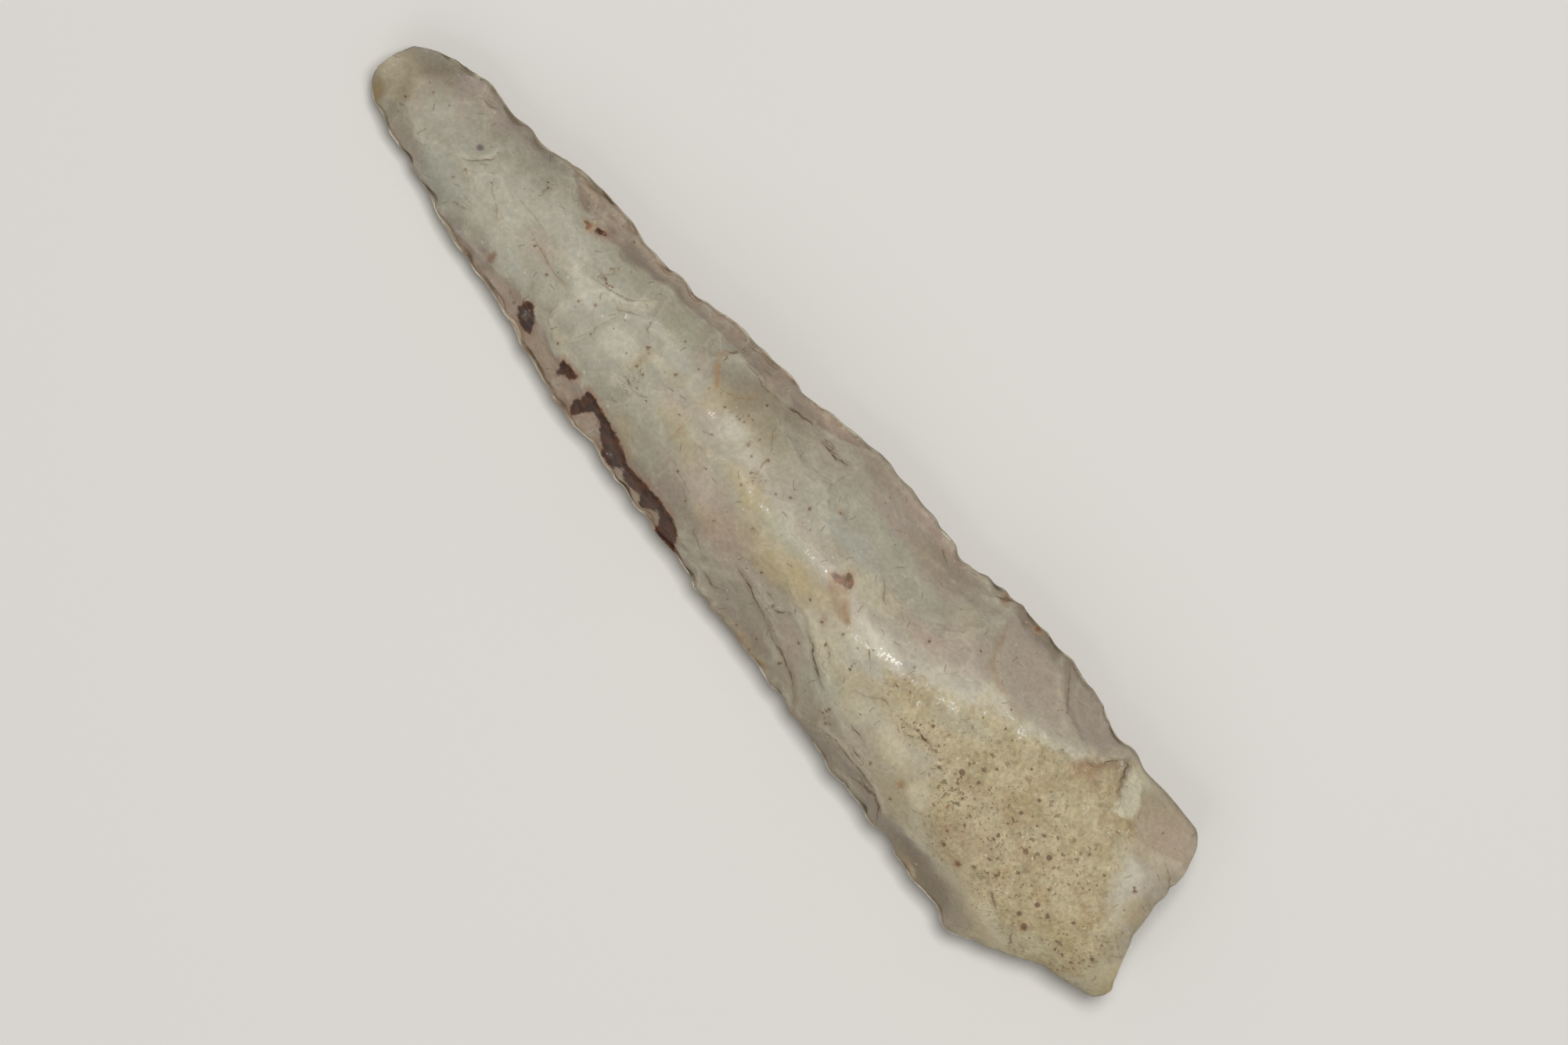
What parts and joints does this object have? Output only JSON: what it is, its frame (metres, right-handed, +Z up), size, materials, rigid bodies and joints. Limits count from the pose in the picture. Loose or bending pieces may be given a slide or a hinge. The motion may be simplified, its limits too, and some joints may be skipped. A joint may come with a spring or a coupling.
{
  "type": "flint drill",
  "caption": "Knapped flint drill: a long narrow stone, thick at the broken butt, tapering between steep retouched margins to a blunt boring tip.",
  "frame": {"origin": "centre of the bounding box in plan, at the level of the flat facet that the stone rests on", "axes": "+X along the stone from the butt to the boring tip, +Z up through the dorsal ridge, +Y towards the margin with the widest shoulder"},
  "size_m": [0.08, 0.0185, 0.0098],
  "materials": {
    "flint": "patinated grey-cream flint, satin to slightly glossy, with a rough tan cortex patch at the butt"
  },
  "bodies": {
    "root": {"flint_drill": "flint"}
  },
  "joints": []
}
